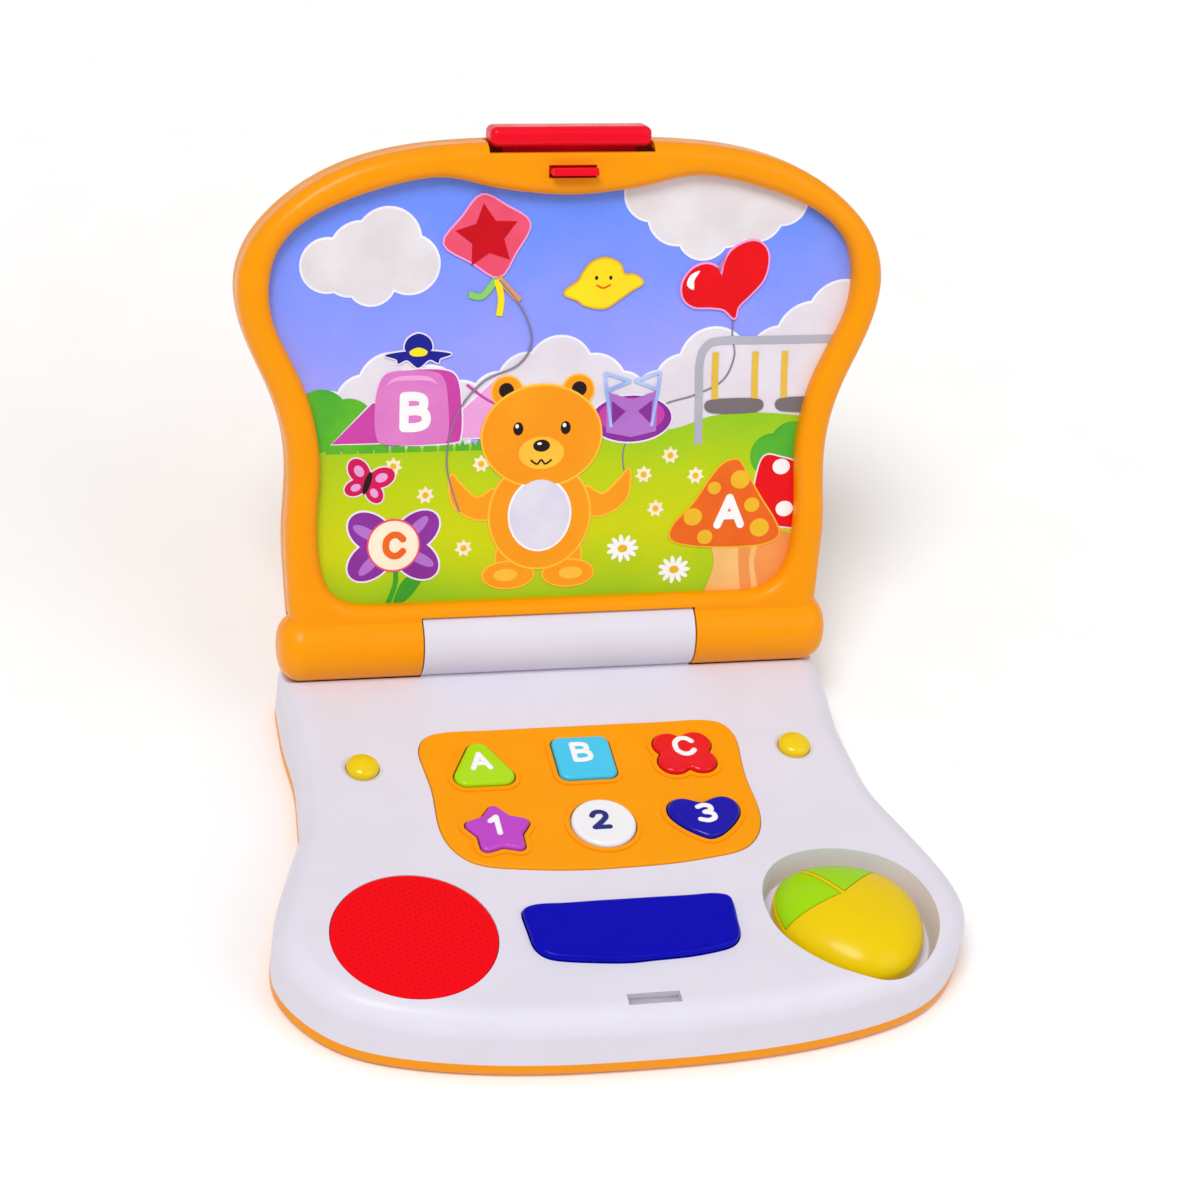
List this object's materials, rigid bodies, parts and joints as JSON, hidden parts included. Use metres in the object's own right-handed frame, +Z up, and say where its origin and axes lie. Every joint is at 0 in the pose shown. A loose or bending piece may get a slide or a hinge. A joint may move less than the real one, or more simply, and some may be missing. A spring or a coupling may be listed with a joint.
{
  "type": "toy laptop computer",
  "caption": "Toy laptop with a hinged picture lid, sprung latch, shaped letter and number keys, a space bar, a speaker grille and a sliding mouse.",
  "frame": {"origin": "centre of the flat underside of the base, where the outline's middle line crosses the battery door", "axes": "+X to the child's right, +Y from the front edge back to the hinge, +Z up from the table"},
  "size_m": [0.2498, 0.2745, 0.2145],
  "materials": {
    "white_shell": "satin moulded plastic",
    "orange_shell": "satin moulded plastic",
    "orange_panel": "satin moulded plastic",
    "orange_bezel": "glossy moulded plastic",
    "board_green": "solder-masked fibre board",
    "resin_black": "resin",
    "silicone": "silicone rubber",
    "lens_yellow": "translucent glossy plastic",
    "led_clear": "clear resin",
    "grille_red": "finely perforated plastic",
    "speaker_steel": "pressed steel",
    "speaker_paper": "paper",
    "magnet_grey": "ferrite",
    "cell_jacket": "plain jacket",
    "contact_metal": "plated",
    "screw_steel": "zinc plated",
    "switch_black": "satin",
    "pin_steel": "ground steel",
    "picture": "glossy printed card",
    "latch_red": "glossy moulded plastic",
    "key_green": "glossy moulded plastic",
    "key_cyan": "glossy moulded plastic",
    "key_red": "glossy moulded plastic",
    "key_purple": "glossy moulded plastic",
    "key_white": "glossy moulded plastic",
    "key_blue": "glossy moulded plastic",
    "bar_blue": "glossy moulded plastic",
    "mouse_yellow": "satin moulded plastic",
    "mouse_green": "satin moulded plastic",
    "mouse_inner": "moulded plastic"
  },
  "bodies": {
    "base": {"base_top_shell": "white_shell", "base_bottom_shell": "orange_shell", "key_panel": "orange_panel", "circuit_board": "board_green", "board_components": "resin_black", "keypad_membrane": "silicone", "space_bar_domes": "silicone", "led_lens_left": "lens_yellow", "led_lens_right": "lens_yellow", "indicator_leds": "led_clear", "speaker_grille": "grille_red", "speaker_frame": "speaker_steel", "speaker_cone": "speaker_paper", "speaker_magnet": "magnet_grey", "batteries": "cell_jacket", "battery_contacts": "contact_metal", "battery_springs": "contact_metal", "battery_door": "orange_shell", "battery_door_screw": "screw_steel", "case_screws": "screw_steel", "power_switch_body": "switch_black", "hinge_pins": "pin_steel"},
    "lid": {"lid_front_bezel": "orange_bezel", "lid_back_cover": "orange_shell", "picture_card": "picture", "lid_screws": "screw_steel", "latch_springs": "contact_metal"},
    "latch": {"latch_slider": "latch_red"},
    "key_a": {"key_a_triangle": "key_green"},
    "key_b": {"key_b_square": "key_cyan"},
    "key_c": {"key_c_clover": "key_red"},
    "key_1": {"key_1_star": "key_purple"},
    "key_2": {"key_2_circle": "key_white"},
    "key_3": {"key_3_heart": "key_blue"},
    "space_key": {"space_bar": "bar_blue"},
    "carriage": {"mouse_carriage": "mouse_inner"},
    "mouse": {"mouse_base": "mouse_yellow", "mouse_cover": "mouse_yellow", "mouse_switch_board": "board_green", "mouse_retainer": "contact_metal", "mouse_screw": "screw_steel"},
    "mouse_left": {"mouse_button_left": "mouse_green"},
    "mouse_right": {"mouse_button_right": "mouse_green"},
    "switch": {"power_switch_slider": "switch_black"}
  },
  "joints": [
    {"name": "lid_hinge", "type": "hinge", "parent": "base", "child": "lid", "pos_m": [0, 0.085, 0.037], "axis": [1, 0, 0], "range_deg": [0, 114.5]},
    {"name": "latch_slide", "type": "slide", "parent": "lid", "child": "latch", "axis": [0, -0.4147, -0.91], "range_m": [0, 0.0012], "stiffness_N_per_m": 600, "deforming": ["latch_springs"]},
    {"name": "key_a_press", "type": "slide", "parent": "base", "child": "key_a", "axis": [0, 0, -1], "range_m": [0, 0.002], "stiffness_N_per_m": 500, "deforming": ["keypad_membrane"]},
    {"name": "key_b_press", "type": "slide", "parent": "base", "child": "key_b", "axis": [0, 0, -1], "range_m": [0, 0.002], "stiffness_N_per_m": 500},
    {"name": "key_c_press", "type": "slide", "parent": "base", "child": "key_c", "axis": [0, 0, -1], "range_m": [0, 0.002], "stiffness_N_per_m": 500},
    {"name": "key_1_press", "type": "slide", "parent": "base", "child": "key_1", "axis": [0, 0, -1], "range_m": [0, 0.002], "stiffness_N_per_m": 500},
    {"name": "key_2_press", "type": "slide", "parent": "base", "child": "key_2", "axis": [0, 0, -1], "range_m": [0, 0.002], "stiffness_N_per_m": 500},
    {"name": "key_3_press", "type": "slide", "parent": "base", "child": "key_3", "axis": [0, 0, -1], "range_m": [0, 0.002], "stiffness_N_per_m": 500},
    {"name": "space_bar_press", "type": "slide", "parent": "base", "child": "space_key", "axis": [0, 0, -1], "range_m": [0, 0.002], "stiffness_N_per_m": 800, "deforming": ["space_bar_domes"]},
    {"name": "mouse_side_slide", "type": "slide", "parent": "base", "child": "carriage", "axis": [1, 0, 0], "range_m": [-0.0015, 0.0015]},
    {"name": "mouse_fore_slide", "type": "slide", "parent": "carriage", "child": "mouse", "axis": [0, 1, 0], "range_m": [-0.0015, 0.0015]},
    {"name": "mouse_left_click", "type": "slide", "parent": "mouse", "child": "mouse_left", "axis": [0, 0, -1], "range_m": [0, 0.0008], "stiffness_N_per_m": 600},
    {"name": "mouse_right_click", "type": "slide", "parent": "mouse", "child": "mouse_right", "axis": [0, 0, -1], "range_m": [0, 0.0008], "stiffness_N_per_m": 600},
    {"name": "power_switch_slide", "type": "slide", "parent": "base", "child": "switch", "axis": [1, 0, 0], "range_m": [0, 0.005]}
  ]
}
